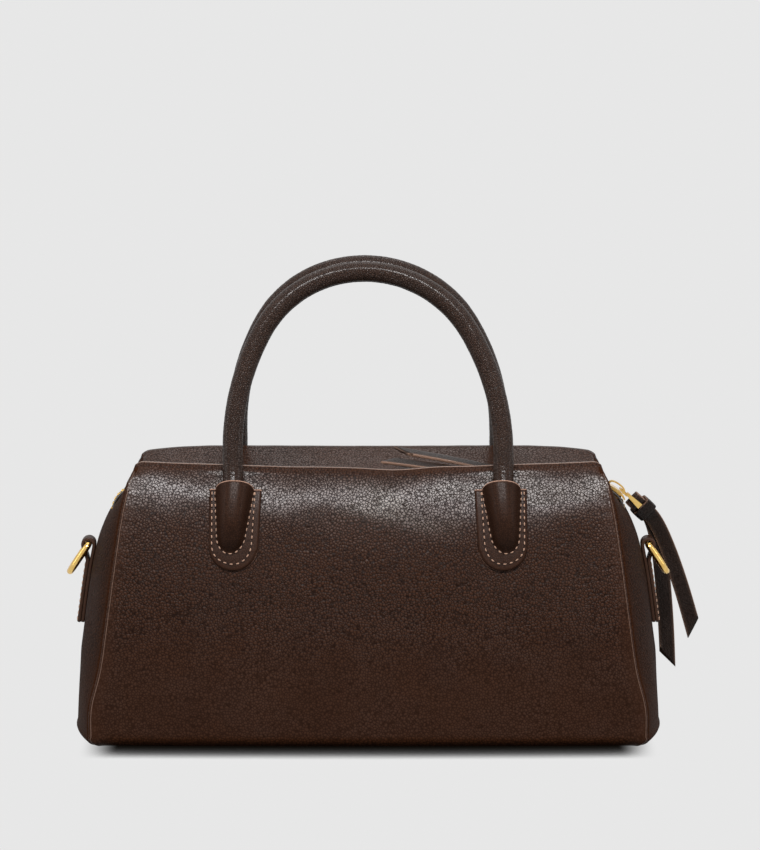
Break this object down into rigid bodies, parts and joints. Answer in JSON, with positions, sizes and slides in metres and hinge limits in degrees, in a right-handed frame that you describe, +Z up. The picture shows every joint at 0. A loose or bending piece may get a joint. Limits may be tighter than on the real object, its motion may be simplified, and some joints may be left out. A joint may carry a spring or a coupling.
{
  "type": "top handle bag",
  "caption": "Small barrel-shaped leather top handle bag with rolled handles, a zip along the top with leather pulls, and a metal ring on a leather tab at each end.",
  "frame": {"origin": "centre of the base panel's underside, on the ground", "axes": "+X to the right seen from the front, +Y to the rear, +Z up"},
  "size_m": [0.3273, 0.14, 0.2416],
  "materials": {
    "body_leather": "dark brown grained leather, soft sheen",
    "trim_leather": "dark brown leather, tan stitching on the handle tabs",
    "pull_leather": "dark brown leather strips",
    "lining_cloth": "woven tan cloth",
    "zip_tape": "dark brown woven tape",
    "stiffener_board": "pressed board",
    "gold_metal": "polished gold-coloured plating",
    "rope_core": "twisted cord"
  },
  "bodies": {
    "bag": {"front_panel": "body_leather", "rear_panel": "body_leather", "left_gusset": "body_leather", "right_gusset": "body_leather", "base_panel": "body_leather", "base_board": "stiffener_board", "base_lining": "lining_cloth", "front_lining": "lining_cloth", "rear_lining": "lining_cloth", "left_lining": "lining_cloth", "right_lining": "lining_cloth", "front_zip_tape": "zip_tape", "rear_zip_tape": "zip_tape", "front_zip_teeth": "gold_metal", "rear_zip_teeth": "gold_metal", "left_zip_stop": "gold_metal", "right_zip_stop": "gold_metal", "front_left_root": "trim_leather", "front_right_root": "trim_leather", "rear_left_root": "trim_leather", "rear_right_root": "trim_leather", "front_left_tab": "trim_leather", "front_right_tab": "trim_leather", "rear_left_tab": "trim_leather", "rear_right_tab": "trim_leather", "front_left_sleeve": "trim_leather", "front_right_sleeve": "trim_leather", "rear_left_sleeve": "trim_leather", "rear_right_sleeve": "trim_leather", "left_ring_tab": "trim_leather", "right_ring_tab": "trim_leather"},
    "front_handle_swing": {"front_handle": "trim_leather", "front_handle_core": "rope_core"},
    "rear_handle_swing": {"rear_handle": "trim_leather", "rear_handle_core": "rope_core"},
    "top_slider_car": {"top_slider": "gold_metal"},
    "top_pull": {"top_pull_link": "gold_metal", "top_pull_strap": "pull_leather", "top_pull_band": "pull_leather"},
    "end_slider_car": {"end_slider": "gold_metal"},
    "end_pull": {"end_pull_link": "gold_metal", "end_pull_strap": "pull_leather", "end_pull_band": "pull_leather"},
    "left_ring_swing": {"left_ring": "gold_metal"},
    "right_ring_swing": {"right_ring": "gold_metal"}
  },
  "joints": [
    {"name": "front_handle_fold", "type": "hinge", "parent": "bag", "child": "front_handle_swing", "pos_m": [0, -0.05038, 0.1383], "axis": [1, 0, 0], "range_deg": [-6, 90]},
    {"name": "rear_handle_fold", "type": "hinge", "parent": "bag", "child": "rear_handle_swing", "pos_m": [0, 0.05038, 0.1383], "axis": [-1, 0, 0], "range_deg": [-6, 90]},
    {"name": "top_slider_travel", "type": "slide", "parent": "bag", "child": "top_slider_car", "axis": [-1, 0, 0], "range_m": [-0.001, 0.215]},
    {"name": "top_pull_swing", "type": "hinge", "parent": "top_slider_car", "child": "top_pull", "pos_m": [0.1078, 0, 0.1269], "axis": [0, 1, 0], "range_deg": [0, 105]},
    {"name": "end_slider_travel", "type": "hinge", "parent": "bag", "child": "end_slider_car", "pos_m": [0.119, 0, 0.1117], "axis": [0, 1, 0], "range_deg": [-5, 2.5]},
    {"name": "end_pull_swing", "type": "hinge", "parent": "end_slider_car", "child": "end_pull", "pos_m": [0.12971, 0, 0.1227], "axis": [0, -1, 0], "range_deg": [0, 110]},
    {"name": "left_ring_swing", "type": "hinge", "parent": "bag", "child": "left_ring_swing", "pos_m": [-0.14394, 0, 0.0945], "axis": [0, 1, 0], "range_deg": [-16, 84]},
    {"name": "right_ring_swing", "type": "hinge", "parent": "bag", "child": "right_ring_swing", "pos_m": [0.14394, 0, 0.0945], "axis": [0, -1, 0], "range_deg": [-16, 84]}
  ]
}
